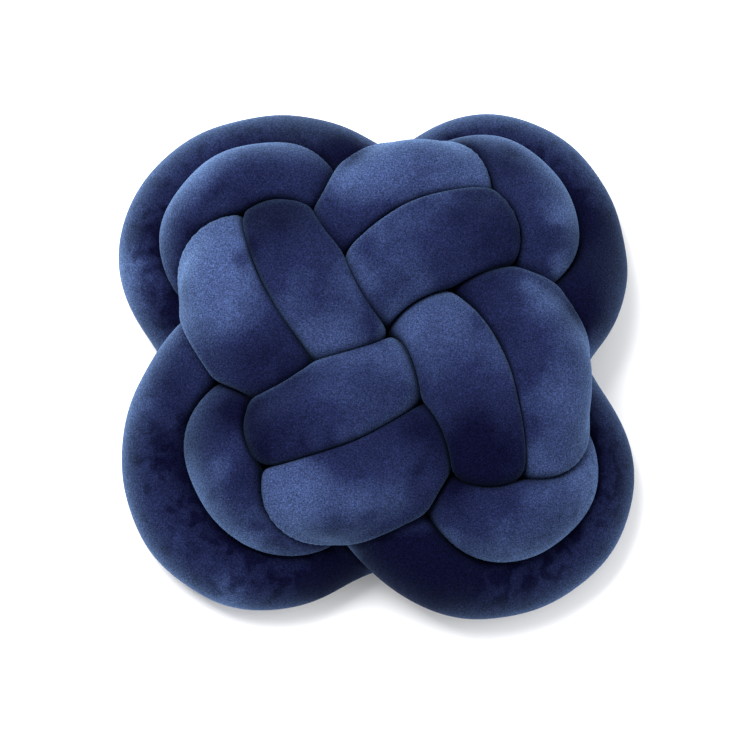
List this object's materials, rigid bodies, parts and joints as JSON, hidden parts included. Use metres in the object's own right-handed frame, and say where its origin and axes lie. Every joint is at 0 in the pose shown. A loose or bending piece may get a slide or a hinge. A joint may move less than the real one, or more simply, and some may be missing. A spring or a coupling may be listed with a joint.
{
  "type": "knot cushion",
  "caption": "Round woven knot cushion of stuffed plush tubes: low looped lobes round a raised woven middle, lying flat on its back.",
  "frame": {"origin": "centre of the cushion's outline, on the surface it lies on", "axes": "+Z up out of the cushion's face, +X to the right and +Y up in the front view of the face"},
  "size_m": [0.4551, 0.4605, 0.1607],
  "materials": {
    "outer_plush": "navy plush, short dense pile",
    "inner_plush": "navy plush, short dense pile"
  },
  "bodies": {
    "root": {"outer_tube": "outer_plush", "inner_tube": "inner_plush"}
  },
  "joints": []
}
